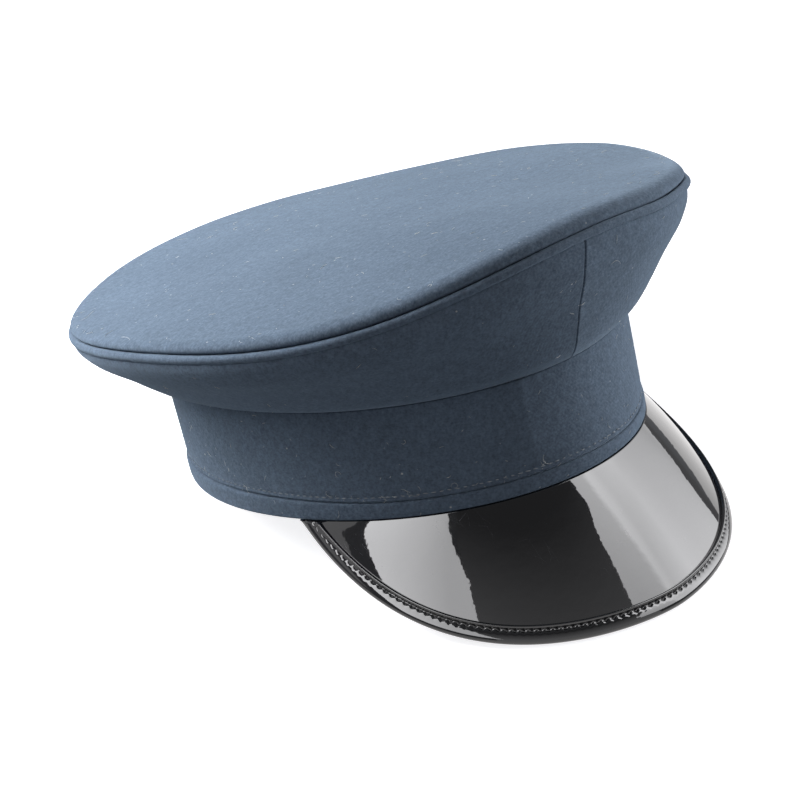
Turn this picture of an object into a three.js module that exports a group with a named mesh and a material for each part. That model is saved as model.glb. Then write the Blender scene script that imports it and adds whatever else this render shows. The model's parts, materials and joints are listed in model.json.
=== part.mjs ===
// Peaked service cap: a wide padded crown of blue-grey cloth, a plain band and a black patent peak.
// Millimetres. The cap's own frame starts at the middle of the band's lower rim, with +X to the
// wearer's left, +Y to the back and +Z up along the band, so the front of the cap faces -Y.
// At the end the whole cap is tipped back until its peak and the back of its band stand on one floor.

import * as THREE from "three";

// Clearance between pieces that are sewn together
const seamGap = 0.3;

// Band
const bandHalfLength = 104.1;
const bandHalfWidth = 83.5;
const bandHeight = 44.3;
const bandWall = 2.4;
const bandFlare = 0.8; // how far the top of the band stands outside its foot
const bandRearFullness = 0.04; // share of the half width that the back gains and the front loses

// Hem round the foot of the band
const hemHeight = 6.3;
const hemProud = 0.5;
const hemRound = 0.5;

// Edge of the crown, a tipped oval above the band
const crownHalfLength = 128.7;
const crownHalfWidth = 115.9;
const crownRise = 80.2; // height of the oval's middle above the rim
const crownForward = -1.2;
const crownTipUp = 5.0; // degrees that the front of the oval is raised
const crownPower = 2.19; // 2 is an ellipse, more is squarer
const crownEdgeWaves = [
  { waves: 2, rise: 2.6 },
  { waves: 3, rise: 0.9 },
  { waves: 4, rise: 1.7 },
];

// Padded top of the crown
const domeHeight = 8.8;
const domePower = 2.47;
const domeForwardFullness = 0.2; // share of its height that the dome gains towards the front
const crownWall = 2.0;

// Piping round the edge of the crown
const pipingRadius = 2.1;
const pipingProud = 1.6;

// Sides of the crown, two halves sewn together at the front and the back
const sideWall = 1.8;
// From the band at the foot to the piping at the head, as shares of the way up and of the way out
const sideProfile = [
  { up: 0, out: 0 },
  { up: 0.04, out: 0.1 },
  { up: 0.12, out: 0.25 },
  { up: 0.45, out: 0.59 },
  { up: 0.69, out: 0.845 },
  { up: 0.85, out: 0.95 },
  { up: 0.95, out: 0.975 },
  { up: 1, out: 0.97 },
];

// Peak
const peakCornerAngle = 77.7; // degrees from the front, where the peak leaves the band
const peakCornerInset = 0.8; // from the hem's outer edge in to the corners
const peakLength = 112.9; // from the line between the corners to the tip, seen from above
const peakDrop = 52.4; // from the rim down to the tip
const peakSag = 0.67; // how much lower than a straight line the outline runs, as a share
const peakFlare = 0.378; // share of the width between its corners that the outline gains
const peakPower = 1.75;
const peakCamber = 1.0;
const peakThickness = 1.8;
const peakFlangeHeight = 8;
const peakEndAngle = 88; // degrees along the outline where its ends are cut

// Binding round the edge of the peak
const bindingWidth = 5.5;
const bindingWall = 0.8;
const bindingWelt = 1.3; // leather outside the end of the sheet
const bindingLeastLip = 0.4;
const bindingDepth = bindingWelt + seamGap; // from the outline in to the end of the sheet

// Fineness of the meshes
const stepsAround = 72;
const stepsAcrossDome = 8;
const stepsAroundPiping = 8;
const stepsAcrossPeak = 4;
const stepsAlongPeak = 48;

const cloth = { color: 0x4b5769, roughness: 0.95, metalness: 0 };
const shadedCloth = { color: 0x3f4959, roughness: 0.95, metalness: 0 };
const patent = { color: 0x17181a, roughness: 0.12, metalness: 0 };

const degrees = THREE.MathUtils.degToRad;
const mix = THREE.MathUtils.lerp;
const signedPower = (value, power) => Math.sign(value) * Math.abs(value) ** power;

// Evenly spaced values from the first to the last
function spread(first, last, steps) {
  return Array.from({ length: steps + 1 }, (_, i) => mix(first, last, i / steps));
}

// Angles once round the cap from the front, without the last, which is the first again
function turn(steps) {
  return spread(0, 2 * Math.PI, steps).slice(0, -1);
}

// Point on the outer face of the band, or outside it where outset is positive
function bandPoint(angle, height, outset = 0) {
  const out = (bandFlare * height) / bandHeight + outset;
  const fullness = 1 - bandRearFullness * Math.cos(angle);
  const x = (bandHalfWidth + out) * Math.sin(angle) * fullness;
  return new THREE.Vector3(x, -(bandHalfLength + out) * Math.cos(angle), height);
}

const crownUp = new THREE.Vector3(0, Math.sin(degrees(crownTipUp)), Math.cos(degrees(crownTipUp)));
const crownAhead = new THREE.Vector3(0, -crownUp.z, crownUp.y);

// Point in the oval of the crown's edge: share 0 is its middle and share 1 its edge
function crownPoint(angle, share = 1, outset = 0) {
  const halfWidth = crownHalfWidth + outset;
  const halfLength = crownHalfLength + outset;
  const wave = crownEdgeWaves.reduce((sum, row) => sum + row.rise * Math.cos(row.waves * angle), 0);
  return new THREE.Vector3(0, -crownForward, crownRise)
    .addScaledVector(crownAhead, halfLength * share * signedPower(Math.cos(angle), 2 / crownPower))
    .addScaledVector(crownUp, wave * share)
    .add(new THREE.Vector3(halfWidth * share * signedPower(Math.sin(angle), 2 / crownPower), 0, 0));
}

// Point on the dome, where rise goes from 0 at the edge to 90 degrees at the middle
function domePoint(angle, rise, inset) {
  const share = Math.cos(rise) ** (2 / domePower);
  const fullness = 1 + domeForwardFullness * share * Math.cos(angle);
  const height = (domeHeight - inset) * Math.sin(rise) ** (2 / domePower) * fullness;
  return crownPoint(angle, share, -inset).addScaledVector(crownUp, height);
}

// Turns the faces of a closed mesh outwards
function facingOut(positions, index) {
  const corner = (i) => new THREE.Vector3().fromArray(positions, 3 * index[i]);
  let volume = 0;
  for (let i = 0; i < index.length; i += 3) {
    volume += corner(i).dot(corner(i + 1).cross(corner(i + 2)));
  }
  return volume < 0 ? index.toReversed() : index;
}

// Closed body through loops of points. Its ends are joined to each other ("ring"), closed as the two
// faces of a sheet ("sheet"), or closed as fans round two given points.
function lofted(loops, ends) {
  const count = loops[0].length;
  const points = loops.flat();
  const index = [];
  const quad = (a, b, c, d) => index.push(a, b, c, a, c, d);
  const steps = ends === "ring" ? loops.length : loops.length - 1;
  for (let i = 0; i < steps; i++) {
    const here = i * count;
    const next = ((i + 1) % loops.length) * count;
    for (let j = 0; j < count; j++) {
      const k = (j + 1) % count;
      quad(here + j, here + k, next + k, next + j);
    }
  }
  const last = (loops.length - 1) * count;
  if (ends === "sheet") {
    for (let j = 0; j < count / 2 - 1; j++) {
      quad(j + 1, j, count - 1 - j, count - 2 - j);
      quad(last + j, last + j + 1, last + count - 2 - j, last + count - 1 - j);
    }
  } else if (ends !== "ring") {
    const apex = points.push(...ends) - 2;
    for (let j = 0; j < count; j++) {
      const k = (j + 1) % count;
      index.push(apex, k, j);
      index.push(apex + 1, last + j, last + k);
    }
  }
  const positions = points.flatMap((point) => point.toArray());
  const geometry = new THREE.BufferGeometry();
  geometry.setAttribute("position", new THREE.Float32BufferAttribute(positions, 3));
  geometry.setIndex(facingOut(positions, index));
  geometry.computeVertexNormals();
  return geometry;
}

// Loops of a sheet: lineAt gives the line of points on its outer face at each step, from the foot
// up, and the wall lies inside that face
function sheetLoops(lineAt, steps, wall) {
  const nudge = 0.001;
  return steps.map((step) => {
    const line = lineAt(step);
    const before = lineAt(step - nudge);
    const after = lineAt(step + nudge);
    const inward = line.slice(1).map((point, i) => {
      const across = after[i].clone().sub(before[i]);
      return point.clone().sub(line[i]).cross(across).normalize();
    });
    const inner = line.map((point, i) => {
      const below = inward[Math.max(i - 1, 0)];
      const above = inward[Math.min(i, inward.length - 1)];
      const mitre = below.clone().add(above).normalize();
      return point.clone().addScaledVector(mitre, wall / mitre.dot(below));
    });
    return [...line, ...inner.reverse()];
  });
}

// Crown

function crownTop() {
  const rises = spread(0, Math.PI / 2, stepsAcrossDome).slice(0, -1);
  const loopAt = (rise, inset) => turn(stepsAround).map((angle) => domePoint(angle, rise, inset));
  const outer = rises.toReversed().map((rise) => loopAt(rise, 0));
  const inner = rises.map((rise) => loopAt(rise, crownWall));
  const middles = [0, crownWall].map((inset) => domePoint(0, Math.PI / 2, inset));
  return lofted([...outer, ...inner], middles);
}

function crownPiping() {
  const loops = turn(stepsAround).map((angle) => {
    const middle = crownPoint(angle, 1, pipingProud - pipingRadius);
    const out = crownPoint(angle).sub(crownPoint(angle, 0)).projectOnPlane(crownUp).normalize();
    middle.addScaledVector(crownUp, -(seamGap + pipingRadius));
    return turn(stepsAroundPiping).map((round) =>
      middle
        .clone()
        .addScaledVector(out, pipingRadius * Math.cos(round))
        .addScaledVector(crownUp, pipingRadius * Math.sin(round)),
    );
  });
  return lofted(loops, "ring");
}

// Half of the crown's side: side is 1 for the wearer's left half and -1 for the right
function crownSide(side) {
  const lineAt = (angle) => {
    const foot = bandPoint(angle, bandHeight).setZ(bandHeight + seamGap);
    const head = crownPoint(angle).addScaledVector(crownUp, -2 * (seamGap + pipingRadius));
    return sideProfile.map(({ up, out }) => {
      const x = mix(foot.x, head.x, out) + (side * seamGap) / 2;
      return new THREE.Vector3(x, mix(foot.y, head.y, out), mix(foot.z, head.z, up));
    });
  };
  const angles = spread(0, side * Math.PI, stepsAround / 2);
  return lofted(sheetLoops(lineAt, angles, sideWall), "sheet");
}

// Band

// A ring with the same section all round, given as places out from the band's face and up its height
function bandRing(section) {
  const loops = turn(stepsAround).map((angle) =>
    section.map(({ out, up }) => bandPoint(angle, up, out)),
  );
  return lofted(loops, "ring");
}

function band() {
  return bandRing([
    { out: 0, up: hemHeight + seamGap },
    { out: 0, up: bandHeight },
    { out: -bandWall, up: bandHeight },
    { out: -bandWall, up: hemHeight + seamGap },
  ]);
}

function bandHem() {
  return bandRing([
    { out: hemProud - hemRound, up: 0 },
    { out: hemProud, up: hemRound },
    { out: hemProud, up: hemHeight - hemRound },
    { out: hemProud - hemRound, up: hemHeight },
    { out: -bandWall, up: hemHeight },
    { out: -bandWall, up: 0 },
  ]);
}

// Peak

// Point on the peak's outline, where place goes from -90 to 90 degrees from corner to corner
function peakOutline(place) {
  const ahead = Math.abs(Math.cos(place)) ** (2 / peakPower);
  const aside = signedPower(Math.sin(place), 2 / peakPower);
  const corner = bandPoint(degrees(peakCornerAngle), 0, hemProud - peakCornerInset);
  return new THREE.Vector3(
    corner.x * aside * (1 + peakFlare * ahead),
    corner.y - peakLength * ahead,
    -peakDrop * (ahead + peakSag * (ahead - ahead ** 2)),
  );
}

// Angle on the band from which the peak runs out to a place on its outline
function peakRootAngle(place) {
  return (place / (Math.PI / 2)) * degrees(peakCornerAngle);
}

// Point on the peak's upper face right under the outer edge of the hem
function peakRoot(place) {
  return bandPoint(peakRootAngle(place), 0, hemProud).setZ(-seamGap);
}

// At a place on the outline: the way out along the peak, the way up from its face, how far it
// reaches from the band, and the length of the binding's lips, which stay clear of the hem
function peakReach(place) {
  const nudge = 0.001;
  const out = peakOutline(place).sub(peakRoot(place));
  const reach = out.length();
  out.normalize();
  const along = peakOutline(place + nudge).sub(peakOutline(place - nudge)).normalize();
  const up = out.clone().cross(along).normalize();
  const room = reach - bindingDepth - seamGap;
  const lip = THREE.MathUtils.clamp(room, bindingLeastLip, bindingWidth - bindingDepth);
  return { out, up, reach, lip };
}

const peakPlaces = spread(-degrees(peakEndAngle), degrees(peakEndAngle), stepsAlongPeak);

// The sheet runs out under the hem from a flange that stands inside the band. It is cambered
// between the band and the binding, and flat inside the binding.
function peak() {
  const loops = peakPlaces.map((place) => {
    const { out, up, reach, lip } = peakReach(place);
    const root = peakRoot(place);
    const length = reach - bindingDepth;
    const pointAt = (distance, rise) =>
      root.clone().addScaledVector(out, distance).addScaledVector(up, rise);
    const panel = spread(1, 0, stepsAcrossPeak).map((share) =>
      pointAt(share * (length - lip), peakCamber * 4 * share * (1 - share)),
    );
    const slope = [pointAt(length, 0), ...panel];
    const under = slope.map((point) => point.clone().addScaledVector(up, -peakThickness));
    const flangeAt = (inset, height) =>
      bandPoint(peakRootAngle(place), 0, -bandWall - seamGap - inset).setZ(height);
    const outer = [...slope, flangeAt(0, -seamGap), flangeAt(0, peakFlangeHeight)];
    const foot = flangeAt(peakThickness, -seamGap - peakThickness / 2);
    const inner = [...under, foot, flangeAt(peakThickness, peakFlangeHeight)];
    return [...outer, ...inner.reverse()];
  });
  return lofted(loops, "sheet");
}

// A folded strip round the edge of the sheet: out along the peak and up from the sheet's middle
function peakBinding() {
  const slot = peakThickness / 2 + seamGap;
  const half = slot + bindingWall;
  const loops = peakPlaces.map((place) => {
    const { out, up, lip } = peakReach(place);
    const section = [
      { out: -bindingDepth - lip, up: half - bindingWall / 2 },
      { out: -bindingDepth - lip * 0.8, up: half },
      { out: -bindingDepth, up: half },
      { out: -bindingWelt * 0.3, up: half * 0.7 },
      { out: 0, up: 0 },
      { out: -bindingWelt * 0.3, up: -half * 0.7 },
      { out: -bindingDepth, up: -half },
      { out: -bindingDepth - lip * 0.8, up: -half },
      { out: -bindingDepth - lip, up: bindingWall / 2 - half },
      { out: -bindingDepth - lip, up: -slot },
      { out: -bindingDepth - lip / 2, up: -slot },
      { out: -bindingDepth - lip / 4, up: -slot },
      { out: -bindingWelt, up: -slot },
      { out: -bindingWelt, up: 0 },
      { out: -bindingWelt, up: slot },
      { out: -bindingDepth - lip / 4, up: slot },
      { out: -bindingDepth - lip / 2, up: slot },
      { out: -bindingDepth - lip, up: slot },
    ];
    const middle = peakOutline(place).addScaledVector(up, -peakThickness / 2);
    return section.map((row) =>
      middle.clone().addScaledVector(out, row.out).addScaledVector(up, row.up),
    );
  });
  return lofted(loops, "sheet");
}

// Assembly

const cap = new THREE.Group();
const pieces = {};

function add(name, geometry, finish) {
  const mesh = new THREE.Mesh(geometry, new THREE.MeshStandardMaterial(finish));
  mesh.name = name;
  cap.add(mesh);
  pieces[name] = mesh;
}

add("crown_top", crownTop(), cloth);
add("crown_piping", crownPiping(), cloth);
add("crown_side_left", crownSide(1), cloth);
add("crown_side_right", crownSide(-1), shadedCloth);
add("band", band(), shadedCloth);
add("band_hem", bandHem(), cloth);
add("peak", peak(), patent);
add("peak_binding", peakBinding(), patent);

// Height of a piece's lowest point when the cap is turned about X by an angle
function lowest(mesh, angle) {
  const turned = mesh.geometry.clone().rotateX(angle);
  turned.computeBoundingBox();
  return turned.boundingBox.min.z;
}

// The cap tips back until the edge of its peak and the back of its hem are equally low
function restingAngle() {
  let tipped = -Math.PI / 4;
  let upright = 0;
  for (let i = 0; i < 40; i++) {
    const middle = (tipped + upright) / 2;
    const peakIsLower = lowest(pieces.peak_binding, middle) < lowest(pieces.band_hem, middle);
    if (peakIsLower) upright = middle;
    else tipped = middle;
  }
  return upright;
}

cap.rotation.x = restingAngle();
cap.updateMatrixWorld(true);
const extent = new THREE.Box3().setFromObject(cap, true);
const middle = extent.getCenter(new THREE.Vector3());
cap.position.set(-middle.x, -middle.y, -extent.min.z);

const part = new THREE.Group();
part.add(cap);

export default part;
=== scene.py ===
"""Peaked service cap: the finish of its cloth crown and band and of its patent leather peak."""
import json
import random
from math import atan2, copysign, cos, degrees, exp, pi, radians, remainder, sin

import bmesh
import bpy
from mathutils import Matrix, Vector, noise


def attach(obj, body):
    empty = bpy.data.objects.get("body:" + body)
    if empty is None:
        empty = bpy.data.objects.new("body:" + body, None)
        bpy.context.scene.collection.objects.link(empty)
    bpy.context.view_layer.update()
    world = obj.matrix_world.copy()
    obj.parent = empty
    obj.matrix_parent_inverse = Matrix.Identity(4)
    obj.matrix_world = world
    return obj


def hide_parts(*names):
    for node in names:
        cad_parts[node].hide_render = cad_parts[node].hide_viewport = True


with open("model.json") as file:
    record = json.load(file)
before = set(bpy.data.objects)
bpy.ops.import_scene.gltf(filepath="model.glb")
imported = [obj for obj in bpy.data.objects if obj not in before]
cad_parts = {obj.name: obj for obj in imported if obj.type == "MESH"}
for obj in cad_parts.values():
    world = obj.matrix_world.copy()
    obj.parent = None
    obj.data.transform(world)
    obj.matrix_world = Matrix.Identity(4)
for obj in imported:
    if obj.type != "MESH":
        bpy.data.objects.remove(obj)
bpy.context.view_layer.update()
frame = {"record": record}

bl_info = {
    "name": "Peaked service cap",
    "version": (1, 0, 0),
    "blender": (4, 5, 0),
    "location": "View3D > Sidebar > Cap",
    "description": "Builds the cloth, leather and stitches of a peaked service cap",
    "category": "Object",
}

BODY = "root"
WELD = 1e-6  # metres within which points of a mesh are joined
MM = 0.001
RIM = frame["record"]["mounts"][0]["axis"]  # points down, square to the band's lower rim
RIM_MIDDLE = (0.0, 0.0000375, 0.0229746)  # middle of the band's lower rim as the cap rests


# Settings

def share(name, default, description, precision=3, unit="NONE"):
    """A number, such as a share or a power."""
    return bpy.props.FloatProperty(
        name=name, description=description, default=default, precision=precision, unit=unit
    )


def length(name, millimetres, description):
    return share(name, millimetres * MM, description, 5, "LENGTH")


def turn(name, angle, description):
    return share(name, radians(angle), description, 2, "ROTATION")


def colour(name, default, description):
    """A colour without alpha."""
    return bpy.props.FloatVectorProperty(
        name=name, description=description, default=default, size=3, min=0.0, max=1.0, subtype="COLOR"
    )


class CapSizes(bpy.types.PropertyGroup):
    """Sizes that give the cap its form; angles start at the front."""

    rim_middle: bpy.props.FloatVectorProperty(
        name="Rim middle",
        description="Middle of the band's lower rim as the cap rests",
        default=RIM_MIDDLE,
        unit="LENGTH",
    )
    tip_back: turn(
        "Tip back", degrees(atan2(-RIM[1], -RIM[2])), "How far the cap leans back as it rests"
    )
    band_half_length: length("Band half length", 104.1, "From its middle to its front")
    band_half_width: length("Band half width", 83.5, "From its middle to its side")
    band_height: length("Band height", 44.3, "From the rim to the foot of the crown")
    band_wall: length("Band wall", 2.4, "Thickness of the band")
    band_flare: length("Band flare", 0.8, "How far its top stands outside its foot")
    band_fullness: share("Band fullness", 0.04, "Share of its width that the back gains")
    hem_height: length("Hem height", 6.3, "Height of the folded hem")
    hem_proud: length("Hem proud", 0.5, "How far it stands outside the band")
    crown_half_length: length("Crown half length", 128.7, "From its middle to its front")
    crown_half_width: length("Crown half width", 115.9, "From its middle to its side")
    crown_rise: length("Crown rise", 80.2, "Height of its edge above the rim")
    crown_forward: length("Crown forward", -1.2, "How far its middle lies ahead of the band's")
    crown_tip_up: turn("Crown tip up", 5.0, "How far its front is raised")
    crown_power: share("Crown power", 2.19, "2 is an ellipse, more is squarer")
    dome_height: length("Dome height", 8.1, "How far the padded top rises")
    dome_power: share("Dome power", 2.2, "How soon the padded top flattens")
    roll_radius: length("Roll radius", 3.4, "Radius of the top's rolled edge at the back")
    roll_radius_front: length("Roll radius, front", 5.3, "The same radius at the front")
    roll_middle: turn("Roll middle", 20.0, "Where the rolled edge is fullest")
    dome_ahead: share("Dome ahead", 0.2, "Share of its height gained to the front")
    cloth_wall: length("Cloth wall", 1.8, "Thickness of the crown's cloth")
    piping_radius: length("Piping radius", 1.72, "Radius of the piping")
    piping_proud: length("Piping proud", 1.6, "How far it stands outside the crown's edge")
    seam_gap: length("Seam gap", 0.3, "Clearance between sewn pieces")
    peak_corner: turn("Peak corner", 77.7, "Where the peak leaves the band")
    peak_inset: length("Peak inset", 0.8, "From the hem's outer edge to its corners")
    peak_length: length("Peak length", 112.9, "From its corners to its tip, seen from above")
    peak_drop: length("Peak drop", 52.4, "From the rim down to the tip")
    peak_sag: share("Peak sag", 0.67, "How much lower than straight its outline runs")
    peak_flare: share("Peak flare", 0.378, "Share of its width that it gains")
    peak_power: share("Peak power", 1.75, "2 is an ellipse, less is more pointed")
    peak_camber: length("Peak camber", 1.0, "How far it bulges from band to binding")
    peak_wall: length("Peak wall", 1.8, "Thickness of the peak")
    flange_height: length("Flange height", 8.0, "How far it stands up inside the band")
    welt: length("Welt", 1.3, "Binding outside the edge of the peak's sheet")
    stitch_pitch: length("Stitch pitch", 3.0, "From stitch to stitch above the hem")
    binding_pitch: length("Binding pitch", 3.2, "From stitch to stitch on the binding")
    crease_angle: turn("Crease angle", -18.0, "Where the band's soft crease lies")


class CapColours(bpy.types.PropertyGroup):
    """Colours of the cloth, leather and threads."""

    cloth: colour("Cloth", (0.096, 0.133, 0.186), "Main tone of the cloth")
    cloth_dark: colour("Cloth, dark", (0.058, 0.084, 0.122), "Tone between the fibres")
    cloth_pale: colour("Cloth, pale", (0.165, 0.215, 0.285), "Tone of raised fibres")
    patent: colour("Patent leather", (0.008, 0.008, 0.010), "Lacquered leather of the peak")
    lining: colour("Leather underside", (0.016, 0.016, 0.017), "Plain underside of the peak")
    thread: colour("Hem thread", (0.22, 0.25, 0.285), "Thread above the hem")
    black_thread: colour("Black thread", (0.006, 0.006, 0.007), "Thread through the binding")
    lint: colour("Lint", (0.56, 0.57, 0.56), "Fibres and specks on the cloth")
    floor: colour("Floor", (0.80, 0.80, 0.81), "Pale floor")
    world: colour("Surroundings", (0.22, 0.225, 0.235), "Dim light from all round")


# The cap's surfaces

def signed_power(value, power):
    return copysign(abs(value) ** power, value)


def mix(a, b, amount):
    return a + (b - a) * amount


def raised(height):
    return Vector((0.0, 0.0, height))


def kept_in(value):
    """The value, kept from 0 to 1."""
    return min(max(value, 0.0), 1.0)


def eased(value):
    """0 below 0 and 1 above 1, with a smooth rise between."""
    return 0.5 - 0.5 * cos(kept_in(value) * pi)


def around(angle):
    """The angle less its whole turns, from minus pi to pi."""
    return remainder(angle, 2 * pi)


def hump(distance, width):
    """1 at no distance, falling off smoothly over the width."""
    return exp(-((distance / width) ** 2))


def ripple(point, size, seed=0.0):
    """Smooth unevenness from -1 to 1 with waves of about that size."""
    return noise.noise(point / size + Vector((seed, seed * 1.7, -seed)))


def smooth_row(rows, place):
    """A row between a table's rows, on a smooth line through them, with place from 0 to 1."""
    at = place * (len(rows) - 1)
    i = min(int(at), len(rows) - 2)
    t = at - i
    a, b, c, d = (rows[min(max(j, 0), len(rows) - 1)] for j in (i - 1, i, i + 1, i + 2))

    def between(p, q, r, s):
        return q + 0.5 * t * (r - p + t * (2 * p - 5 * q + 4 * r - s + t * (3 * (q - r) + s - p)))

    return [between(*columns) for columns in zip(a, b, c, d)]


# How the crown's side rises from the band to the piping: shares of the way up and of the way out
SIDE_PROFILE = [
    # up, out
    (0.00, 0.00), (0.04, 0.10), (0.12, 0.25), (0.28, 0.425), (0.45, 0.59), (0.57, 0.72), (0.69, 0.845),
    (0.85, 0.95), (0.95, 0.972), (1.00, 0.985),
]

# Waves in the height of the crown's edge: how many go round the cap, and their height
CROWN_WAVES = [(2, 2.6 * MM), (3, 0.9 * MM), (4, 1.7 * MM)]

# Places where the crown's edge has sagged or lifted in wear: from the front, towards the wearer's left
CROWN_SAGS = [
    # middle and width in degrees, rise
    (-30.0, 30.0, 0.5 * MM),
    (19.0, 13.0, -1.8 * MM),
    (54.0, 18.0, -1.5 * MM),
]


class CapShape:
    """The surfaces of the cap in its own frame: rim at the origin, +X left, +Y back, +Z up."""

    def __init__(self, sizes):
        self.sizes = sizes
        tip = sizes.crown_tip_up
        self.up = Vector((0.0, sin(tip), cos(tip)))
        self.ahead = Vector((0.0, -cos(tip), sin(tip)))
        tipped = Matrix.Rotation(-sizes.tip_back, 4, "X")
        self.rest = Matrix.Translation(Vector(sizes.rim_middle)) @ tipped

    def band_point(self, angle, height, outset=0.0):
        s = self.sizes
        out = s.band_flare * height / s.band_height + outset
        full = 1 - s.band_fullness * cos(angle)
        x = (s.band_half_width + out) * sin(angle) * full
        return Vector((x, -(s.band_half_length + out) * cos(angle), height))

    def crown_point(self, angle, part=1.0, outset=0.0):
        s = self.sizes
        ahead = (s.crown_half_length + outset) * part * signed_power(cos(angle), 2 / s.crown_power)
        aside = (s.crown_half_width + outset) * part * signed_power(sin(angle), 2 / s.crown_power)
        lift = part**2 * sum(rise * cos(waves * angle) for waves, rise in CROWN_WAVES)
        for at, width, rise in CROWN_SAGS:
            lift += part**6 * rise * hump(around(angle - radians(at)), radians(width))
        middle = Vector((aside, -s.crown_forward, s.crown_rise))
        return middle + self.ahead * ahead + self.up * lift

    def crown_out(self, angle):
        """The way out in the plane of the crown's edge."""
        out = self.crown_point(angle) - self.crown_point(angle, 0.0)
        return (out - self.up * out.dot(self.up)).normalized()

    def roll(self, angle):
        """Radius of the padded top's rolled edge, largest at the front."""
        s = self.sizes
        ahead = (0.5 + 0.5 * cos(angle - s.roll_middle)) ** 1.5
        return mix(s.roll_radius, s.roll_radius_front, ahead)

    def top_point(self, angle, inward, height):
        """A point on the padded top, inward from its edge and up from the plane of the edge."""
        part = max(1 - inward / self.sizes.crown_half_length, 0.0)
        full = 1 + self.sizes.dome_ahead * part * cos(angle)
        return self.crown_point(angle, part) + self.up * height * full

    def side_point(self, angle, place):
        s = self.sizes
        foot = self.band_point(angle, s.band_height)
        foot.z += s.seam_gap
        open_fold = kept_in(2 * sin(angle) + 0.2)  # how open the fold under the piping is
        drop = mix(3.4 * MM, 3.8 * MM, open_fold)
        outset = mix(1.3 * MM, 0.3 * MM, open_fold)
        head = self.crown_point(angle, 1.0, outset) - self.up * drop
        up, out = smooth_row(SIDE_PROFILE, place)
        return Vector((mix(foot.x, head.x, out), mix(foot.y, head.y, out), mix(foot.z, head.z, up)))

    def hem_top(self, angle):
        """Height of the hem, which is tallest at the sides and lowest at the front left."""
        taller, lower_front = 0.26, 0.17  # shares of its height
        side_start, side_run, back_start, back_run = 0.8, 0.8, 2.0, 1.0  # angles
        front_left, front_width = radians(22), 0.35
        away = abs(around(angle))
        beside = eased((away - side_start) / side_run) - eased((away - back_start) / back_run)
        front = hump(around(angle - front_left), front_width)
        return self.sizes.hem_height * (1 + taller * beside - lower_front * front)

    def peak_outline(self, place):
        s = self.sizes
        ahead = abs(cos(place)) ** (2 / s.peak_power)
        aside = signed_power(sin(place), 2 / s.peak_power)
        corner = self.band_point(s.peak_corner, 0.0, s.hem_proud - s.peak_inset)
        x = corner.x * aside * (1 + s.peak_flare * ahead)
        drop = s.peak_drop * (ahead + s.peak_sag * (ahead - ahead**2))
        return Vector((x, corner.y - s.peak_length * ahead, -drop))

    def peak_root(self, place, outset, height):
        angle = place / (pi / 2) * self.sizes.peak_corner
        return self.band_point(angle, 0.0, outset) + raised(height)

    def peak_ways(self, place):
        """Out along the peak, along its outline and up from its face, with its reach."""
        s = self.sizes
        nudge = 0.001
        out = self.peak_outline(place) - self.peak_root(place, s.hem_proud, -s.seam_gap)
        reach = out.length
        out.normalize()
        along = (self.peak_outline(place + nudge) - self.peak_outline(place - nudge)).normalized()
        return out, along, out.cross(along).normalized(), reach


# Mesh helpers

def grid_mesh(columns, rows, place, inside):
    """A flat grid whose points go where place(u, v) puts them. place gives a point and its place
    on the cloth, in metres. Edges that meet are joined, and the faces point away from inside."""
    bm = bmesh.new()
    layer = bm.loops.layers.uv.new("surface")
    bmesh.ops.create_grid(bm, x_segments=columns, y_segments=rows, size=0.5)
    for vert in bm.verts:
        vert.co, flat = place(vert.co.x + 0.5, vert.co.y + 0.5)
        for loop in vert.link_loops:
            loop[layer].uv = flat
    bmesh.ops.remove_doubles(bm, verts=bm.verts, dist=WELD)
    bm.normal_update()
    facing = sum(
        (face.calc_center_median() - inside).dot(face.normal) * face.calc_area() for face in bm.faces
    )
    if facing < 0:
        bmesh.ops.reverse_faces(bm, faces=bm.faces)
    return bm


def spaced(curve, first, last, pitch):
    """Places on a curve that lie one pitch apart, from the first to the last."""
    steps = 600  # short straight steps that the curve is measured with
    places = [mix(first, last, i / steps) for i in range(steps + 1)]
    run = [0.0]
    for a, b in zip(places, places[1:]):
        run.append(run[-1] + (curve(b) - curve(a)).length)
    count = round(run[-1] / pitch)
    found = []
    i = 0
    for k in range(count):
        wanted = run[-1] * (k + 0.5) / count
        while run[i + 1] < wanted:
            i += 1
        found.append(mix(places[i], places[i + 1], (wanted - run[i]) / (run[i + 1] - run[i])))
    return found


def add_grain(bm, middle, along, up, size):
    """A small rounded grain, such as a stitch. size is its half length, half width and half height."""
    across = up.cross(along).normalized()
    turned = Matrix((along, across, up)).transposed().to_4x4()
    scaled = Matrix.Diagonal((*size, 1.0))
    place = Matrix.Translation(middle) @ turned @ scaled
    bmesh.ops.create_uvsphere(bm, u_segments=6, v_segments=6, radius=1.0, matrix=place)


def add_thread(bm, points, radius):
    """A thin three-sided thread through some points."""
    rings = []
    for i, point in enumerate(points):
        along = (points[min(i + 1, len(points) - 1)] - points[max(i - 1, 0)]).normalized()
        turned = along.to_track_quat("Z", "Y").to_matrix().to_4x4()
        end = i in (0, len(points) - 1)
        ring = bmesh.ops.create_circle(
            bm, segments=3, radius=radius * (0.5 if end else 1.0), cap_ends=end,
            matrix=Matrix.Translation(point) @ turned,
        )["verts"]
        rings.append({edge for vert in ring for edge in vert.link_edges})
    for a, b in zip(rings, rings[1:]):
        bmesh.ops.bridge_loops(bm, edges=list(a | b))


def add_object(context, name, data):
    made = bpy.data.objects.new(name, data)
    context.scene.collection.objects.link(made)
    return made


def add_mesh(context, name, bm, materials):
    """An object made of a bmesh."""
    data = bpy.data.meshes.new(name)
    bm.to_mesh(data)
    bm.free()
    for each in materials:
        data.materials.append(each)
    return add_object(context, name, data)


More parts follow.
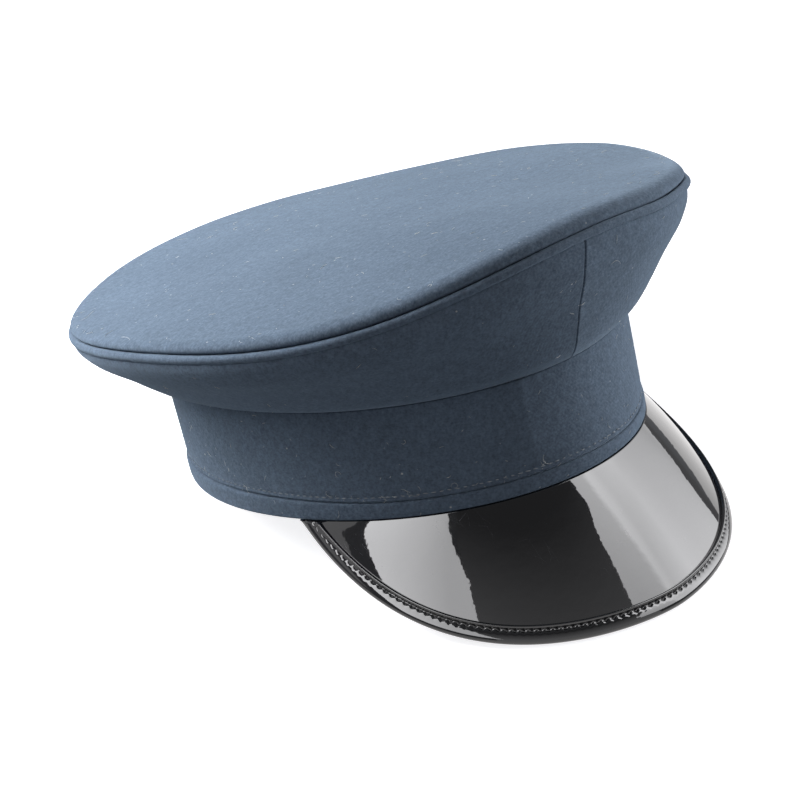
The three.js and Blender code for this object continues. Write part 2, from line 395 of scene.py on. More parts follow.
def finish_piece(context, bm, name, replaces=(), materials=("cloth",)):
    """A smooth piece that rides on the cap and stands for its solids."""
    piece = add_mesh(context, name, bm, [material(context, each) for each in materials])
    piece.data.shade_smooth()
    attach(piece, BODY)
    if replaces:
        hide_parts(*replaces)
    return piece


def thicken(piece, wall, inner_material=0):
    """Gives a piece its wall, inwards from the face that shows."""
    solid = piece.modifiers.new("Wall", "SOLIDIFY")
    solid.thickness = wall
    solid.offset = -1.0
    solid.use_even_offset = True
    solid.material_offset = inner_material
    return solid


# Materials

def add_node(tree, kind, inputs=None, **settings):
    """A shader node with its settings, and its inputs as values or as sockets to join to."""
    node = tree.nodes.new("ShaderNode" + kind)
    for key, value in settings.items():
        setattr(node, key, value)
    for key, value in (inputs or {}).items():
        if isinstance(value, bpy.types.NodeSocket):
            tree.links.new(value, node.inputs[key])
        else:
            node.inputs[key].default_value = value
    return node


def add_mix(tree, amount, a, b, blend="MIX"):
    """A mix of two colours."""
    node = add_node(tree, "Mix", {0: amount, 6: a, 7: b}, data_type="RGBA", blend_type=blend)
    return node.outputs[2]


def add_range(tree, value, low, high, to_low=0.0, to_high=1.0):
    """A value spread from one range to another."""
    inputs = {0: value, 1: low, 2: high, 3: to_low, 4: to_high}
    return add_node(tree, "MapRange", inputs).outputs[0]


def new_material(name):
    """An empty material and the tree of its nodes."""
    material = bpy.data.materials.new(name)
    material.use_nodes = True
    material.node_tree.nodes.clear()
    return material, material.node_tree


def close_material(tree, kind, inputs):
    """Gives a material its shader and its output."""
    shader = add_node(tree, kind, inputs)
    add_node(tree, "OutputMaterial", {"Surface": shader.outputs[0]})


def rgba(values):
    return (*values, 1.0)


def add_math(tree, operation, a, b):
    """A sum on two values."""
    return add_node(tree, "Math", {0: a, 1: b}, operation=operation).outputs[0]


def body_coords(tree):
    """Places in the piece's own frame."""
    return add_node(tree, "TexCoord").outputs["Object"]


def add_cloud(tree, where, scale, detail=2.0, roughness=0.5):
    """Soft noise."""
    inputs = {"Vector": where, "Scale": scale, "Detail": detail, "Roughness": roughness}
    return add_node(tree, "TexNoise", inputs).outputs["Fac"]


def add_bump(tree, height, strength, distance, over=None):
    """A bump, over another one if that is given."""
    inputs = {"Height": height, "Strength": strength, "Distance": distance}
    if over is not None:
        inputs["Normal"] = over
    return add_node(tree, "Bump", inputs).outputs[0]


def cloth_material(colours):
    """Brushed wool blend: a mottled nap over a faint twill, with a soft sheen."""
    made, tree = new_material("blue-grey brushed cloth")
    coords = add_node(tree, "TexCoord")
    body, flat = coords.outputs["Object"], coords.outputs["UV"]

    stretched = add_node(tree, "Mapping", {"Vector": flat, "Scale": (700.0, 2600.0, 1.0)})
    fibres = add_cloud(tree, stretched.outputs[0], 1.0, 3.0, 0.6)
    nap = add_cloud(tree, body, 950.0, 3.0, 0.65)
    mottle = add_cloud(tree, body, 330.0, 3.0, 0.6)
    patches = add_cloud(tree, body, 22.0)
    twill = add_node(tree, "TexWave", {
        "Vector": flat, "Scale": 330.0, "Distortion": 1.2, "Detail": 1.0, "Detail Scale": 2.0,
    }, bands_direction="DIAGONAL").outputs["Fac"]

    dark, pale = rgba(colours.cloth_dark), rgba(colours.cloth_pale)
    tone = add_mix(tree, add_range(tree, nap, 0.3, 0.7), dark, pale)
    tone = add_mix(tree, 0.45, tone, rgba(colours.cloth))
    for cloud, low, high, spread in (
        # noise, its range, and how much darker and paler it makes the cloth
        (fibres, 0.3, 0.7, 0.14),
        (mottle, 0.3, 0.7, 0.15),
        (patches, 0.35, 0.65, 0.05),
    ):
        grey = add_range(tree, cloud, low, high, 1 - spread, 1 + spread)
        grey = add_node(tree, "CombineColor", {0: grey, 1: grey, 2: grey}).outputs[0]
        tone = add_mix(tree, 1.0, tone, grey, "MULTIPLY")

    dust = add_node(tree, "TexVoronoi", {"Vector": body, "Scale": 210.0, "Randomness": 1.0})
    near = add_range(tree, dust.outputs["Distance"], 0.05, 0.11, 1.0, 0.0)
    chosen = add_node(tree, "SeparateColor", {0: dust.outputs["Color"]}).outputs[0]
    few = add_range(tree, chosen, 0.93, 0.96)
    tone = add_mix(tree, add_math(tree, "MULTIPLY", near, few), tone, rgba(colours.lint))

    bump = add_bump(tree, nap, 0.45, 0.10 * MM)
    bump = add_bump(tree, twill, 0.25, 0.06 * MM, bump)
    bump = add_bump(tree, mottle, 0.20, 0.3 * MM, bump)
    close_material(tree, "BsdfPrincipled", {
        "Base Color": tone,
        "Roughness": 0.92,
        "IOR": 1.4,
        "Specular IOR Level": 0.15,
        "Sheen Weight": 0.24,
        "Sheen Roughness": 0.45,
        "Sheen Tint": (0.62, 0.80, 1.0, 1.0),
        "Normal": bump,
    })
    return made


def patent_material(colours):
    """Black leather under a clear, slightly uneven lacquer with hairlines, nearly a mirror."""
    made, tree = new_material("black patent leather")
    body = body_coords(tree)
    wobble = add_cloud(tree, body, 190.0, 2.0, 0.55)
    swell = add_cloud(tree, body, 45.0, 1.0)
    smears = add_cloud(tree, body, 60.0, 4.0, 0.7)
    stretched = add_node(tree, "Mapping", {
        "Vector": body, "Scale": (260.0, 60.0, 60.0), "Rotation": (0.3, 0.2, 0.9)
    })
    inputs = {"Vector": stretched.outputs[0], "Scale": 1.0}
    hairs = add_node(tree, "TexVoronoi", inputs, feature="DISTANCE_TO_EDGE")
    hairline = add_range(tree, hairs.outputs["Distance"], 0.0, 0.008, 1.0, 0.0)
    parts = add_range(tree, smears, 0.56, 0.66)
    scratch = add_math(tree, "MULTIPLY", hairline, parts)
    bump = add_bump(tree, wobble, 0.30, 0.10 * MM)
    bump = add_bump(tree, swell, 0.22, 0.5 * MM, bump)
    close_material(tree, "BsdfPrincipled", {
        "Base Color": add_mix(tree, scratch, rgba(colours.patent), (0.09, 0.09, 0.10, 1.0)),
        "Roughness": add_range(tree, smears, 0.35, 0.75, 0.025, 0.07),
        "IOR": 1.5,
        "Specular IOR Level": 0.3,
        "Coat Weight": 1.0,
        "Coat Roughness": 0.02,
        "Coat IOR": 1.5,
        "Normal": bump,
        "Coat Normal": bump,
    })
    return made


def grained_material(name, tone, roughness, scale, depth):
    """A plain dull surface with a fine grain."""
    made, tree = new_material(name)
    grain = add_cloud(tree, body_coords(tree), scale, 3.0, 0.6)
    dark = tuple(0.7 * value for value in tone)
    pale = tuple(min(1.3 * value, 1.0) for value in tone)
    close_material(tree, "BsdfPrincipled", {
        "Base Color": add_mix(tree, add_range(tree, grain, 0.3, 0.7), rgba(dark), rgba(pale)),
        "Roughness": roughness,
        "Normal": add_bump(tree, grain, 0.5, depth),
    })
    return made


MADE = {}  # materials that are made already, by name


def material(context, name):
    """A material by its name."""
    colours = context.scene.cap_colours
    plain = {
        # tone, roughness, grains in a metre, depth of the grain
        "leather underside": (colours.lining, 0.6, 900.0, 0.1 * MM),
        "hem thread": (colours.thread, 0.8, 4000.0, 0.05 * MM),
        "black thread": (colours.black_thread, 0.45, 4000.0, 0.05 * MM),
        "lint": (colours.lint, 0.9, 3000.0, 0.02 * MM),
    }
    if name not in MADE:
        if name in plain:
            MADE[name] = grained_material(name, *plain[name])
        else:
            MADE[name] = {"cloth": cloth_material, "patent": patent_material}[name](colours)
    return MADE[name]


# Surfaces as placed: each takes u and v from 0 to 1 and gives a point and its place on the cloth

def crown_top_surface(shape):
    s = shape.sizes
    fold = 1.1 * MM  # radius of the fold that runs down to the seam
    allowance = 3.0 * MM  # cloth turned down behind the piping
    allowance_inward = 3.6 * MM
    allowance_share, fold_share, roll_share = 0.05, 0.12, 0.34  # v at which each part ends
    roll_width = 1.5  # of the roll's height

    def place(u, v):
        angle = 2 * pi * u
        roll = shape.roll(angle)
        if v < allowance_share:
            inward = allowance_inward
            height = -allowance * (1 - v / allowance_share)
        elif v < fold_share:
            quarter = (v - allowance_share) / (fold_share - allowance_share) * pi / 2
            inward = fold * (1 - sin(quarter))
            height = fold * (1 - cos(quarter))
        elif v < roll_share:
            quarter = (v - fold_share) / (roll_share - fold_share) * pi / 2
            inward = roll * roll_width * (1 - cos(quarter))
            height = fold + (roll - fold) * sin(quarter)
        else:
            start = roll * roll_width
            inward = mix(start, s.crown_half_length, (v - roll_share) / (1 - roll_share))
            part = 1 - (inward - start) / (s.crown_half_length - start)
            height = roll + (s.dome_height - roll) * (1 - part**s.dome_power)
        point = shape.top_point(angle, inward, height)
        settled = min(v / roll_share, 1.0) ** 2
        lift = 0.5 * MM * ripple(point, 70 * MM) + 0.2 * MM * ripple(point, 22 * MM, 5.0)
        return shape.rest @ (point + shape.up * lift * settled), (point.x, point.y)

    return place


def piping_surface(shape):
    s = shape.sizes
    girth = 740 * MM

    def place(u, v):
        angle = 2 * pi * u
        round_it = 2 * pi * v
        middle = shape.crown_point(angle, 1.0, s.piping_proud - s.piping_radius)
        middle -= shape.up * (s.seam_gap + s.piping_radius)
        uneven = 0.05 * ripple(middle, 9 * MM) + 0.03 * ripple(middle, 3 * MM, 3.0)
        radius = s.piping_radius * (1 + uneven)
        out = shape.crown_out(angle) * cos(round_it) + shape.up * sin(round_it)
        return shape.rest @ (middle + out * radius), (u * girth, v * s.piping_radius * 2 * pi)

    return place


def side_surface(shape, side):
    """side is 1 for the wearer's left half of the crown's side and -1 for the right."""
    s = shape.sizes
    crowding = 0.93  # how much the columns crowd towards the two seams
    run = (s.band_half_length + s.crown_half_length) / 2
    seam_depth, seam_width = 0.6 * MM, 0.24 * MM
    ridge_height, ridge_at, ridge_width = 0.25 * MM, 0.88, 0.035
    flange = 2.8 * MM  # how far the foot is turned in over the band
    flange_share = 0.06
    head_tuck, head_tuck_width = 0.9 * MM, 0.035  # how the top edge is turned in under the piping

    def place(u, v):
        along = u - crowding * sin(2 * pi * u) / (2 * pi)
        angle = side * pi * along
        bow = mix(3.0 * MM, 2.2 * MM, v) + 2.2 * MM * sin(pi * v)
        angle -= bow / run * cos(angle / 2) ** 4  # the front seam runs a little to the wearer's right
        up_it = max(v - flange_share, 0.0) / (1 - flange_share)
        point = shape.side_point(angle, up_it)
        to_seam = min(along, 1 - along) * pi * run
        out = Vector((sin(angle), -cos(angle), 0.0))
        ridge = ridge_height * hump(v - ridge_at, ridge_width) * (0.6 + 0.4 * ripple(point, 40 * MM, 2.0))
        soft = 0.35 * MM * ripple(point, 55 * MM, 9.0) * sin(pi * v)
        fold = seam_depth * hump(to_seam, seam_width) * min(up_it / 0.03, 1.0)
        swell = 0.8 * MM * exp(-to_seam / (9 * MM)) * sin(pi * up_it) ** 0.5
        tucked = flange * (1 - min(v / flange_share, 1.0)) + head_tuck * hump(1 - up_it, head_tuck_width)
        point += out * (ridge + soft + swell - fold - tucked)
        point.x += side * s.seam_gap / 4
        return shape.rest @ point, (along * pi * run, v * 50 * MM)

    return place


STITCHES_UP = 2.2 * MM  # from the band's lower edge up to the row of stitches


def band_foot(shape, angle):
    """Height of the band's lower edge, close above the hem."""
    return shape.hem_top(angle) + shape.sizes.seam_gap / 5


def band_surface(shape):
    s = shape.sizes
    radius = (s.band_half_length + s.band_half_width) / 2
    crease_rise, crease_width, crease_foot = 1.1 * MM, 8.0 * MM, 0.35
    bends = [
        # up from the lower edge, outset, width: the stitches' groove, the bulge below it and the edge
        (STITCHES_UP, -0.35 * MM, 0.7 * MM),
        (0.9 * MM, 0.22 * MM, 0.6 * MM),
        (0.0, -0.7 * MM, 0.5 * MM),
    ]

    def place(u, v):
        angle = 2 * pi * u
        low = band_foot(shape, angle)
        height = mix(low, s.band_height, v)
        point = shape.band_point(angle, height)
        from_crease = abs(around(angle - s.crease_angle)) * radius
        outset = crease_rise * exp(-from_crease / crease_width) * min(v / crease_foot, 1.0)
        outset += 0.3 * MM * ripple(point, 45 * MM, 4.0) * sin(pi * v)
        for up, out, width in bends:
            outset += out * hump(height - low - up, width)
        return shape.rest @ shape.band_point(angle, height, outset), (angle * radius, height)

    return place


def hem_surface(shape):
    s = shape.sizes
    power = 2 / 4.5  # 2 / 2 is an ellipse, less is squarer
    half_width = (s.hem_proud + s.band_wall) / 2
    radius = (s.band_half_length + s.band_half_width) / 2
    looseness, loosest, loose_width = 0.9 * MM, radians(100), 0.6

    def place(u, v):
        angle = 2 * pi * u
        half_height = shape.hem_top(angle) / 2
        round_it = 2 * pi * v
        loose = looseness * hump(abs(around(angle)) - loosest, loose_width)
        out = s.hem_proud + loose - half_width + half_width * signed_power(cos(round_it), power)
        up = half_height + half_height * signed_power(sin(round_it), power)
        return shape.rest @ shape.band_point(angle, up, out), (angle * radius, v * 18 * MM)

    return place


PEAK_GIRTH = 330 * MM  # along the peak's outline


def peak_surface(shape):
    s = shape.sizes
    flange_share, under_share = 0.14, 0.22  # v at which the flange and the part under the hem end
    end = radians(88)
    inner = -s.band_wall - s.seam_gap

    def place(u, v):
        at = mix(-end, end, u)
        if v < flange_share:
            point = shape.peak_root(at, inner, mix(s.flange_height, -s.seam_gap, v / flange_share))
        elif v < under_share:
            outset = mix(inner, s.hem_proud, (v - flange_share) / (under_share - flange_share))
            point = shape.peak_root(at, outset, -s.seam_gap)
        else:
            out, _, up, reach = shape.peak_ways(at)
            part = ((v - under_share) / (1 - under_share)) ** 1.5
            point = shape.peak_root(at, s.hem_proud, -s.seam_gap)
            point += out * part * (reach - s.welt) + up * s.peak_camber * 4 * part * (1 - part)
        return shape.rest @ point, (u * PEAK_GIRTH, v * 80 * MM)

    return place


# Section through the binding in millimetres: in along the peak from its outer edge, and up from the
# middle of the peak
BINDING_SECTION = [
    # the top, from the outer edge in to the stitches
    (0.00, 0.00), (0.15, 0.80), (0.62, 1.40), (1.25, 1.72), (1.95, 1.86), (3.00, 1.94), (3.90, 1.90),
    (4.35, 1.82), (4.65, 1.74), (4.95, 1.66), (5.20, 1.58),
    # the ridge along its inner side
    (5.45, 1.66), (5.75, 2.02), (6.05, 2.50), (6.35, 2.82), (6.65, 2.90), (6.92, 2.74), (7.12, 2.30),
    (7.22, 1.66), (7.25, 0.98), (7.05, 0.86),
    # round the edge of the peak's leather
    (4.00, 0.86), (1.40, 0.60), (1.40, -0.60), (4.00, -0.86), (6.60, -0.86),
    # the underside, back out to the edge
    (6.85, -0.98), (6.65, -1.45), (6.05, -1.80), (5.20, -1.50), (4.65, -1.62), (3.00, -1.80),
    (1.25, -1.68), (0.62, -1.38), (0.15, -0.78),
]
STITCH_LINE = 4.95 * MM  # from the binding's outer edge in to its stitches


def binding_frame(shape, at):
    """Middle of the sheet's edge at a place on the outline, with the ways along, in and up."""
    out, along, up, _ = shape.peak_ways(at)
    inward = up.cross(along).normalized()
    if inward.dot(out) > 0:
        inward.negate()
    return shape.peak_outline(at) - up * (shape.sizes.peak_wall / 2), along, inward, up


def binding_surface(shape, stitches):
    """stitches are the places on the outline where each stitch pulls a dent in the binding."""
    end = radians(89.5)
    dent_depth, dent_width = 0.58 * MM, 0.55 * MM  # the width is across the binding
    narrow, wide = 0.35 * MM, 1.05 * MM  # along the binding, outside and inside of the stitches
    widens_at, widens_over = 4.0 * MM, 1.4 * MM
    solid = 1.0 * MM  # nearer to the middle than this, nothing is pulled in

    def place(u, v):
        at = mix(-end, end, u)
        middle, _, inward, up = binding_frame(shape, at)
        inset, rise = BINDING_SECTION[round(v * len(BINDING_SECTION)) % len(BINDING_SECTION)]
        inset, rise = inset * MM, rise * MM
        nearest = min(stitches, key=lambda stitch: abs(stitch - at))
        gap = (shape.peak_outline(nearest) - shape.peak_outline(at)).length
        dent_length = mix(narrow, wide, kept_in((inset - widens_at) / widens_over))
        if abs(rise) > solid:
            pull = dent_depth * hump(gap, dent_length) * hump(inset - STITCH_LINE, dent_width)
            rise -= copysign(pull, rise)
        return shape.rest @ (middle + inward * inset + up * rise), (u * PEAK_GIRTH, v * 18 * MM)

    return place


# Operators: the pieces

class CapOperator:
    """What the operators share."""

    bl_options = {"REGISTER", "UNDO"}

    def execute(self, context):
        self.build(context, CapShape(context.scene.cap_sizes))
        return {"FINISHED"}


class CAP_OT_crown_top(CapOperator, bpy.types.Operator):
    """Padded top of the crown"""

    bl_idname = "cap.crown_top"
    bl_label = "Crown top"

    def build(self, context, shape):
        inside = shape.rest @ shape.crown_point(0.0, 0.0)
        bm = grid_mesh(216, 72, crown_top_surface(shape), inside)
        piece = finish_piece(context, bm, "crown_top_cloth", ["crown_top"])
        thicken(piece, shape.sizes.cloth_wall).use_even_offset = False


class CAP_OT_piping(CapOperator, bpy.types.Operator):
    """Cloth-covered piping round the edge of the crown"""

    bl_idname = "cap.piping"
    bl_label = "Piping"

    def build(self, context, shape):
        inside = shape.rest @ shape.crown_point(0.0, 0.0)
        bm = grid_mesh(420, 16, piping_surface(shape), inside)
        finish_piece(context, bm, "piping_cloth", ["crown_piping"])


class CAP_OT_sides(CapOperator, bpy.types.Operator):
    """The two halves of the crown's side"""

    bl_idname = "cap.sides"
    bl_label = "Crown sides"

    def build(self, context, shape):
        inside = shape.rest @ raised(shape.sizes.crown_rise)
        for side, name in ((1, "left"), (-1, "right")):
            bm = grid_mesh(190, 34, side_surface(shape, side), inside)
            node = f"crown_side_{name}"
            piece = finish_piece(context, bm, f"{node}_cloth", [node])
            thicken(piece, shape.sizes.cloth_wall)


class CAP_OT_band(CapOperator, bpy.types.Operator):
    """Upright band and the folded hem round its foot"""

    bl_idname = "cap.band"
    bl_label = "Band and hem"

    def build(self, context, shape):
        inside = shape.rest @ raised(shape.sizes.band_height / 2)
        bm = grid_mesh(360, 84, band_surface(shape), inside)
        piece = finish_piece(context, bm, "band_cloth", ["band"])
        thicken(piece, shape.sizes.band_wall)
        bm = grid_mesh(300, 36, hem_surface(shape), inside)
        bmesh.ops.recalc_face_normals(bm, faces=bm.faces)
        hem = finish_piece(context, bm, "hem_cloth", ["band_hem"])


class CAP_OT_hem_stitches(CapOperator, bpy.types.Operator):
    """Row of stitches above the hem"""

    bl_idname = "cap.hem_stitches"
    bl_label = "Hem stitches"

    def build(self, context, shape):
        nudge = 0.002  # radians
        sunk = 0.15 * MM  # how far the stitches' middles lie inside the band's face
        turned = shape.rest.to_3x3()

        def seat(angle):
            return shape.band_point(angle, band_foot(shape, angle) + STITCHES_UP, -sunk)

        bm = bmesh.new()
        chance = random.Random(11)
        for angle in spaced(seat, 0.0, 2 * pi, shape.sizes.stitch_pitch):
            along = (seat(angle + nudge) - seat(angle - nudge)).normalized()
            out = along.cross(raised(1.0)).normalized()
            tilt = raised(chance.uniform(-0.16, 0.10))
            size = (chance.uniform(0.65, 1.1) * MM, 0.24 * MM, chance.uniform(0.12, 0.28) * MM)
            ways = (turned @ (along + tilt)).normalized(), (turned @ out).normalized()
            add_grain(bm, shape.rest @ seat(angle), *ways, size)
        finish_piece(context, bm, "hem_stitches", materials=["hem thread"])


class CAP_OT_peak(CapOperator, bpy.types.Operator):
    """Patent leather peak"""

    bl_idname = "cap.peak"
    bl_label = "Peak"

    def build(self, context, shape):
        inside = shape.rest @ raised(-60 * MM)
        bm = grid_mesh(200, 50, peak_surface(shape), inside)
        materials = ["patent", "leather underside"]
        piece = finish_piece(context, bm, "peak_sheet", ["peak"], materials)
        thicken(piece, shape.sizes.peak_wall, inner_material=1)


class CAP_OT_binding(CapOperator, bpy.types.Operator):
    """Bound edge of the peak and its stitches"""

    bl_idname = "cap.binding"
    bl_label = "Binding"

    def build(self, context, shape):
        end = radians(88)
        stitches = spaced(shape.peak_outline, -end, end, shape.sizes.binding_pitch)
        inside = shape.rest @ raised(-60 * MM)
        bm = grid_mesh(820, len(BINDING_SECTION), binding_surface(shape, stitches), inside)
        turned = shape.rest.to_3x3()
        under_hem = shape.rest @ raised(-0.35 * MM)
        up = turned @ raised(1.0)
        parts = [*bm.verts, *bm.edges, *bm.faces]
        bmesh.ops.bisect_plane(bm, geom=parts, plane_co=under_hem, plane_no=up, clear_outer=True)
        bmesh.ops.holes_fill(bm, edges=[edge for edge in bm.edges if edge.is_boundary], sides=0)
        bmesh.ops.recalc_face_normals(bm, faces=bm.faces)
        finish_piece(context, bm, "peak_binding_leather", ["peak_binding"], ["patent"])

        bm = bmesh.new()
        depth = 1.22 * MM  # from the middle of the peak to the middle of a stitch
        highest = -1.5 * MM  # stitches above this would lie in the hem
        size = (0.80 * MM, 0.34 * MM, 0.28 * MM)
        for at in stitches:
            middle, along, inward, rise = binding_frame(shape, at)
            for face in (1, -1):
                seat = middle + inward * STITCH_LINE + rise * face * depth
                if seat.z <= highest:
                    add_grain(bm, shape.rest @ seat, turned @ along, turned @ (rise * face), size)
        finish_piece(context, bm, "binding_stitches", (), ["black thread"])


class CAP_OT_lint(CapOperator, bpy.types.Operator):
    """Pale fibres and specks that cling to the cloth"""

    bl_idname = "cap.lint"
    bl_label = "Lint"

    def build(self, context, shape):
        middle = shape.rest @ raised(50 * MM)
        surfaces = [
            # surface, lowest and highest v, power (0.5 for a disc), how many fibres, curls and specks
            (crown_top_surface(shape), 0.25, 0.99, 0.5, 120, 14, 170),
            (side_surface(shape, 1), 0.12, 0.90, 1.0, 26, 3, 24),
            (side_surface(shape, -1), 0.12, 0.90, 1.0, 26, 3, 24),
            (band_surface(shape), 0.12, 0.95, 1.0, 80, 8, 60),
            (band_surface(shape), 0.02, 0.09, 1.0, 60, 10, 40),
            (hem_surface(shape), 0.93, 1.07, 1.0, 10, 0, 8),
        ]
        kinds = [
            # joints, shortest and longest and thinnest and thickest in millimetres, most bend and lift
            (4, 0.8, 3.2, 0.05, 0.10, 1.6, 0.20),
            (9, 3.0, 6.5, 0.05, 0.08, 7.0, 0.25),
            (2, 0.25, 0.6, 0.09, 0.20, 0.3, 0.10),
        ]
        chance = random.Random(7)
        bm = bmesh.new()
        for place, low, high, power, *counts in surfaces:
            for count, kind in zip(counts, kinds):
                for _ in range(count):
                    start = (chance.random(), mix(high, low, chance.random() ** power))
                    self.add_fibre(bm, place, start, middle, chance, kind)
        finish_piece(context, bm, "lint", materials=["lint"])

    def add_fibre(self, bm, place, start, middle, chance, kind):
        """A fibre that follows the cloth from a start given as u and v."""
        joints, shortest, longest, thinnest, thickest, most_bend, most_lift = kind
        nudge = 0.001  # of u and v
        u, v = start
        heading = chance.uniform(0, 2 * pi)
        bend = chance.uniform(-most_bend, most_bend)
        step = chance.uniform(shortest, longest) * MM / (joints - 1)
        lift = 0.04 * MM
        points = []
        for _ in range(joints):
            point = place(u, v)[0]
            across = place(u + nudge, v)[0] - point
            up_it = place(u, v + nudge)[0] - point
            out = across.cross(up_it).normalized()
            if out.dot(point - middle) < 0:
                out.negate()
            points.append(point + out * lift)
            u += nudge * cos(heading) * step / across.length
            v += nudge * sin(heading) * step / up_it.length
            heading += bend / (joints - 1)
            lift += chance.uniform(0.0, most_lift) * step
        add_thread(bm, points, chance.uniform(thinnest, thickest) * MM)


# Stage

def direction(azimuth, elevation):
    """The way to a point seen from the cap: azimuth 0 is ahead and 90 to the wearer's left."""
    a, e = radians(azimuth), radians(elevation)
    return Vector((sin(a) * cos(e), -cos(a) * cos(e), sin(e)))


def glowing(name, tone, across, upward):
    """A material that only gives off light. across gives its brightness at some azimuths, and
    upward what share of it is left at some elevations."""
    made, tree = new_material(name)
    body = body_coords(tree)
    x, y, z = add_node(tree, "SeparateXYZ", {0: body}).outputs
    most = max(value for _, value in across)

    def ramp(angle, stops, scale):
        node = add_node(tree, "ValToRGB", {0: add_range(tree, angle, -pi, pi)})
        elements = node.color_ramp.elements
        while len(elements) < len(stops):
            elements.new(0.5)
        while len(elements) > len(stops):
            elements.remove(elements[-1])
        for element, (at, value) in zip(elements, stops):
            element.position = at / 360 + 0.5
            element.color = rgba((value / scale,) * 3)
        return node.outputs[0]

    azimuth = add_math(tree, "ARCTAN2", x, add_math(tree, "MULTIPLY", y, -1.0))
    squares = [add_math(tree, "MULTIPLY", side, side) for side in (x, y)]
    level = add_math(tree, "POWER", add_math(tree, "ADD", *squares), 0.5)
    elevation = add_math(tree, "ARCTAN2", z, level)
    shade = add_mix(tree, 1.0, ramp(azimuth, across, most), ramp(elevation, upward, 1.0), "MULTIPLY")
    lit = add_mix(tree, 1.0, shade, rgba(tone), "MULTIPLY")
    close_material(tree, "Emission", {"Color": lit, "Strength": most})
    return made


def stage_mesh(context, name, bm, look, hidden_from):
    """A mesh of the stage. hidden_from names the rays that pass through it."""
    staged = add_mesh(context, name, bm, [look])
    for rays in hidden_from:
        setattr(staged, f"visible_{rays}", False)


WHOLE = [(0, 1.0)]  # the same brightness at every elevation
ONLY_MIRRORED = ("camera", "diffuse", "shadow")  # rays that pass what only the lacquer mirrors

# Cards that only the lacquer mirrors. Their corners are azimuths and elevations in degrees, and so are
# the places of each brightness across and of each share upward.
CARDS = [
    # name, distance, corners, brightness across, share of it upward
    (
        "card_left", 3.0,
        [(-80, 62), (-125, 60), (-111.6, 39), (-104, 31), (-99, 22.6), (-92, 12), (-52, 18), (-61, 34),
         (-62, 39), (-67, 43), (-74, 49)],
        [(-112, 8.6), (-95, 7.4), (-70, 4.9)],
        WHOLE,
    ),
    (
        "card_right", 3.0,
        [(23, 62), (25, 49), (26, 46.7), (24, 45), (21, 44), (18.5, 43), (18, 41), (14, 36), (8, 27),
         (45, 12), (75, 1), (84, -4.5), (91, -3), (92.5, 0.5), (99, 1.5), (108, 4), (108, 42)],
        [(20, 5.3), (34, 6.0), (38, 8.3), (41, 8.1), (46, 7.3), (60, 7.9), (72, 5.6), (95, 2.0)],
        [(30, 0.78), (48, 1.0)],
    ),
    (
        "gap_right", 2.6,
        [(84, -4.5), (91, -3), (92.5, 0.5), (99, 1.5), (108, 4), (108, 0.8), (100, -1.4), (97, -2.6),
         (95, -5.6), (84, -7.4)],
        [(0, 0.2)],
        WHOLE,
    ),
    (
        "card_far_left", 3.0,
        [(-130, 60), (-170, 60), (-170, 10), (-104, 8), (-107.5, 17.5), (-109.5, 24), (-117, 34)],
        [(0, 1.0)],
        WHOLE,
    ),
    (
        "card_front", 3.4,
        [(-70, 52), (-56, 14), (-56, -3), (20, -3), (20, 14), (24, 52)],
        [(0, 1.05)],
        [(6, 1.0), (24, 0.78), (50, 0.15)],
    ),
]

# Soft lights that the cloth sees
SOFT_LIGHTS = [
    # name, azimuth, elevation, distance, width, height, watts
    ("soft_back", -147.0, 38.0, 0.56, 0.38, 0.38, 5.4),
    ("soft_right", 69.0, 6.5, 1.3, 0.6, 0.6, 18.5),
]


# The camera in the cap's own frame, as fitted to the outlines in the photo
CAMERA_ANGLES = (-36.93516, 20.02066, -13.20927)  # azimuth, elevation and roll in degrees
CAMERA_DISTANCE = 1.09967  # metres from the middle of the rim
CAMERA_SHIFT = (-0.02045, 0.03682)


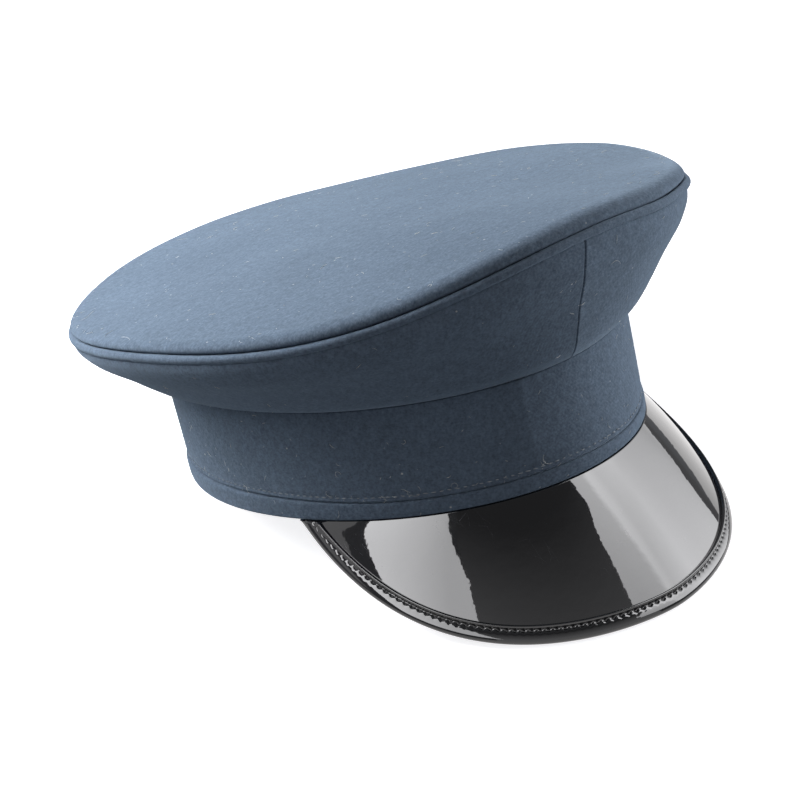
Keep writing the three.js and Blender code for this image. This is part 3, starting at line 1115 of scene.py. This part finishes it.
class CAP_OT_stage(CapOperator, bpy.types.Operator):
    """Pale floor, soft lights, the cards that the lacquer mirrors, and the camera"""

    bl_idname = "cap.stage"
    bl_label = "Stage"

    def build(self, context, shape):
        colours = context.scene.cap_colours
        self.floor(context, colours)
        self.lights(context, colours)
        self.camera(context, shape)
        view = context.scene.view_settings
        view.view_transform = "Standard"
        view.look = "None"

    def floor(self, context, colours):
        made, tree = new_material("pale floor")
        cloud = add_cloud(tree, body_coords(tree), 3.0, 4.0)
        pale = tuple(min(value * 1.04, 1.0) for value in colours.floor)
        close_material(tree, "BsdfPrincipled", {
            "Base Color": add_mix(tree, cloud, rgba(colours.floor), rgba(pale)),
            "Roughness": 0.7,
            "Specular IOR Level": 0.2,
            "Emission Color": rgba(colours.floor),
            "Emission Strength": 1.0,
        })
        mirrored = glowing(
            "floor in the lacquer", (1.0, 0.985, 0.985), [(-60, 1.1), (0, 1.2), (40, 1.03)], WHOLE
        )
        for name, half, height, look, hidden_from in (
            ("floor", 12.0, 0.0, made, ("diffuse", "glossy")),
            ("floor_in_lacquer", 10.0, -1.0, mirrored, ONLY_MIRRORED),
        ):
            bm = bmesh.new()
            sunk = Matrix.Translation(raised(height))
            bmesh.ops.create_grid(bm, x_segments=1, y_segments=1, size=half, matrix=sunk)
            stage_mesh(context, name, bm, look, hidden_from)

    def lights(self, context, colours):
        world = bpy.data.worlds.new("surroundings")
        world.use_nodes = True
        back = world.node_tree.nodes["Background"]
        back.inputs["Color"].default_value = rgba(colours.world)
        back.inputs["Strength"].default_value = 1.0
        context.scene.world = world

        for name, azimuth, elevation, distance, width, height, watts in SOFT_LIGHTS:
            data = bpy.data.lights.new(name, "AREA")
            data.shape = "RECTANGLE"
            data.size, data.size_y, data.energy = width, height, watts
            soft = add_object(context, name, data)
            way = direction(azimuth, elevation)
            soft.location = way * distance
            soft.rotation_mode = "QUATERNION"
            soft.rotation_quaternion = way.to_track_quat("Z", "Y")
            soft.visible_glossy = False

        middle = Vector((0.0, -60 * MM, 20 * MM))
        for name, distance, corners, across, upward in CARDS:
            ways = [direction(*corner) for corner in corners]
            facing = sum(ways, Vector()).normalized()
            bm = bmesh.new()
            bm.faces.new([bm.verts.new(middle + way * distance / way.dot(facing)) for way in ways])
            stage_mesh(context, name, bm, glowing(name, (1.0, 1.0, 1.02), across, upward), ONLY_MIRRORED)

    def camera(self, context, shape):
        heading, height, roll = (radians(angle) for angle in CAMERA_ANGLES)
        ahead, aside = cos(heading) * cos(height), sin(heading) * cos(height)
        back = Vector((aside, -ahead, sin(height)))
        level = raised(1.0).cross(back).normalized()
        upright = back.cross(level)
        right = level * cos(roll) + upright * sin(roll)
        up = upright * cos(roll) - level * sin(roll)
        turned = shape.rest.to_3x3()
        data = bpy.data.cameras.new("camera")
        data.sensor_width = 36.0
        data.lens = 122.57
        data.shift_x, data.shift_y = CAMERA_SHIFT
        data.clip_start, data.clip_end = 0.05, 60.0
        camera = add_object(context, "camera", data)
        camera.rotation_mode = "QUATERNION"
        camera.rotation_quaternion = Matrix(
            (turned @ right, turned @ up, turned @ back)
        ).transposed().to_quaternion()
        camera.location = shape.rest @ (back * CAMERA_DISTANCE)
        context.scene.camera = camera


class CAP_PT_panel(bpy.types.Panel):
    """The cap's sizes, colours and pieces"""

    bl_idname = "CAP_PT_panel"
    bl_label = "Peaked service cap"
    bl_space_type = "VIEW_3D"
    bl_region_type = "UI"
    bl_category = "Cap"

    def draw(self, context):
        layout = self.layout
        for operator in OPERATORS:
            layout.operator(operator.bl_idname)
        for group in (context.scene.cap_sizes, context.scene.cap_colours):
            box = layout.box()
            for name in group.__annotations__:
                box.prop(group, name)


OPERATORS = (
    CAP_OT_stage, CAP_OT_crown_top, CAP_OT_piping, CAP_OT_sides, CAP_OT_band, CAP_OT_hem_stitches,
    CAP_OT_peak, CAP_OT_binding, CAP_OT_lint,
)
CLASSES = (CapSizes, CapColours, *OPERATORS, CAP_PT_panel)


def register():
    for each in CLASSES:
        bpy.utils.register_class(each)
    bpy.types.Scene.cap_sizes = bpy.props.PointerProperty(type=CapSizes)
    bpy.types.Scene.cap_colours = bpy.props.PointerProperty(type=CapColours)


def unregister():
    del bpy.types.Scene.cap_colours
    del bpy.types.Scene.cap_sizes
    for each in reversed(CLASSES):
        bpy.utils.unregister_class(each)


def main():
    register()
    for operator in OPERATORS:
        group, name = operator.bl_idname.split(".")
        getattr(getattr(bpy.ops, group), name)()


if __name__ == "__main__":
    main()
